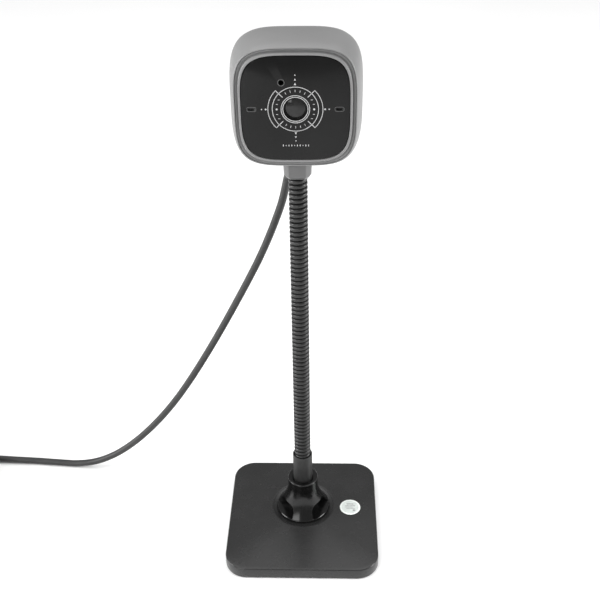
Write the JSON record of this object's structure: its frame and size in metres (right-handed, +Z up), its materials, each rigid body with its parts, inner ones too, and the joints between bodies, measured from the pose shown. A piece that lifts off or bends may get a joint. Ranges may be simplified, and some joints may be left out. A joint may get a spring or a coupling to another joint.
{
  "type": "desk webcam on gooseneck stand",
  "caption": "Desk webcam: a squared head with a dark lens panel on a bendable gooseneck, set in a fluted collar on a weighted square base, with a coiled USB cord.",
  "frame": {"origin": "on the desk under the middle of the square base", "axes": "+Z up along the gooseneck, the lens looks along -Y, +X to the right of a person facing the lens"},
  "size_m": [0.3107, 0.1244, 0.3051],
  "materials": {
    "head_shell_grey": "satin, fine moulded texture",
    "black_satin_plastic": "satin",
    "gooseneck_black": "satin black lacquer",
    "black_gloss_plastic": "polished",
    "base_dark_grey": "fine matte grain",
    "dark_sheet_steel": "black coated",
    "zinc_steel": "zinc plated",
    "foot_rubber": "matte",
    "black_acrylic": "polished, printed from behind",
    "lens_glass": "coated",
    "board_green": "solder mask",
    "chip_black": "moulded epoxy",
    "label_paper": "coated paper",
    "white_plastic": "moulded",
    "cord_jacket": "satin vinyl jacket",
    "tie_nylon": "hook and loop"
  },
  "bodies": {
    "base": {"base_cover": "base_dark_grey", "base_weight": "zinc_steel", "base_plate": "dark_sheet_steel", "plate_screw_1": "zinc_steel", "plate_screw_2": "zinc_steel", "plate_screw_3": "zinc_steel", "plate_screw_4": "zinc_steel", "rubber_foot_1": "foot_rubber", "rubber_foot_2": "foot_rubber", "rubber_foot_3": "foot_rubber", "rubber_foot_4": "foot_rubber", "round_label": "label_paper", "fluted_collar": "black_gloss_plastic", "stem_stud": "zinc_steel", "stem_washer": "zinc_steel", "stem_nut": "zinc_steel", "stem_sleeve": "black_satin_plastic", "gooseneck_foot": "gooseneck_black", "cord_hanging": "cord_jacket", "cord_on_desk": "cord_jacket", "cord_coil": "cord_jacket", "cord_tail": "cord_jacket", "cord_tie": "tie_nylon", "plug_overmould": "black_satin_plastic", "plug_shell": "zinc_steel", "plug_tongue": "white_plastic"},
    "gooseneck_01": {"gooseneck_segment_01": "gooseneck_black"},
    "gooseneck_02": {"gooseneck_segment_02": "gooseneck_black"},
    "gooseneck_03": {"gooseneck_segment_03": "gooseneck_black"},
    "gooseneck_04": {"gooseneck_segment_04": "gooseneck_black"},
    "gooseneck_05": {"gooseneck_segment_05": "gooseneck_black"},
    "gooseneck_06": {"gooseneck_segment_06": "gooseneck_black"},
    "gooseneck_07": {"gooseneck_segment_07": "gooseneck_black"},
    "head": {"gooseneck_end": "gooseneck_black", "neck": "head_shell_grey", "neck_nut": "zinc_steel", "head_shell": "head_shell_grey", "rear_cover": "head_shell_grey", "front_bezel": "head_shell_grey", "front_panel": "black_acrylic", "main_board": "board_green", "board_screw_1": "zinc_steel", "board_screw_2": "zinc_steel", "board_screw_3": "zinc_steel", "board_screw_4": "zinc_steel", "lens_holder": "chip_black", "lens_barrel": "black_satin_plastic", "lens_glass": "lens_glass", "image_sensor": "chip_black", "usb_controller": "chip_black", "crystal_can": "zinc_steel", "cord_socket": "white_plastic", "status_led": "white_plastic", "microphone_left": "zinc_steel", "microphone_right": "zinc_steel", "cord_strain_relief": "cord_jacket"}
  },
  "joints": [
    {"name": "nod_1", "type": "hinge", "parent": "base", "child": "gooseneck_01", "pos_m": [0, 0.0064, 0.0652], "axis": [1, 0, 0], "range_deg": [-22.5, 22.5], "deforming": ["cord_hanging"]},
    {"name": "lean_1", "type": "hinge", "parent": "gooseneck_01", "child": "gooseneck_02", "pos_m": [0, 0.0064, 0.0872], "axis": [0, 1, 0], "range_deg": [-22.5, 22.5]},
    {"name": "nod_2", "type": "hinge", "parent": "gooseneck_02", "child": "gooseneck_03", "pos_m": [0, 0.0064, 0.1092], "axis": [1, 0, 0], "range_deg": [-22.5, 22.5]},
    {"name": "lean_2", "type": "hinge", "parent": "gooseneck_03", "child": "gooseneck_04", "pos_m": [0, 0.0064, 0.1312], "axis": [0, 1, 0], "range_deg": [-22.5, 22.5]},
    {"name": "nod_3", "type": "hinge", "parent": "gooseneck_04", "child": "gooseneck_05", "pos_m": [0, 0.0064, 0.1532], "axis": [1, 0, 0], "range_deg": [-22.5, 22.5]},
    {"name": "lean_3", "type": "hinge", "parent": "gooseneck_05", "child": "gooseneck_06", "pos_m": [0, 0.0064, 0.1752], "axis": [0, 1, 0], "range_deg": [-22.5, 22.5]},
    {"name": "nod_4", "type": "hinge", "parent": "gooseneck_06", "child": "gooseneck_07", "pos_m": [0, 0.0064, 0.1972], "axis": [1, 0, 0], "range_deg": [-22.5, 22.5]},
    {"name": "lean_4", "type": "hinge", "parent": "gooseneck_07", "child": "head", "pos_m": [0, 0.0064, 0.2192], "axis": [0, 1, 0], "range_deg": [-22.5, 22.5]}
  ],
  "couplings": [
    {"joint": "nod_2", "follows": "nod_1", "ratio": 1},
    {"joint": "lean_2", "follows": "lean_1", "ratio": 1},
    {"joint": "nod_3", "follows": "nod_1", "ratio": 1},
    {"joint": "lean_3", "follows": "lean_1", "ratio": 1},
    {"joint": "nod_4", "follows": "nod_1", "ratio": 1},
    {"joint": "lean_4", "follows": "lean_1", "ratio": 1}
  ]
}
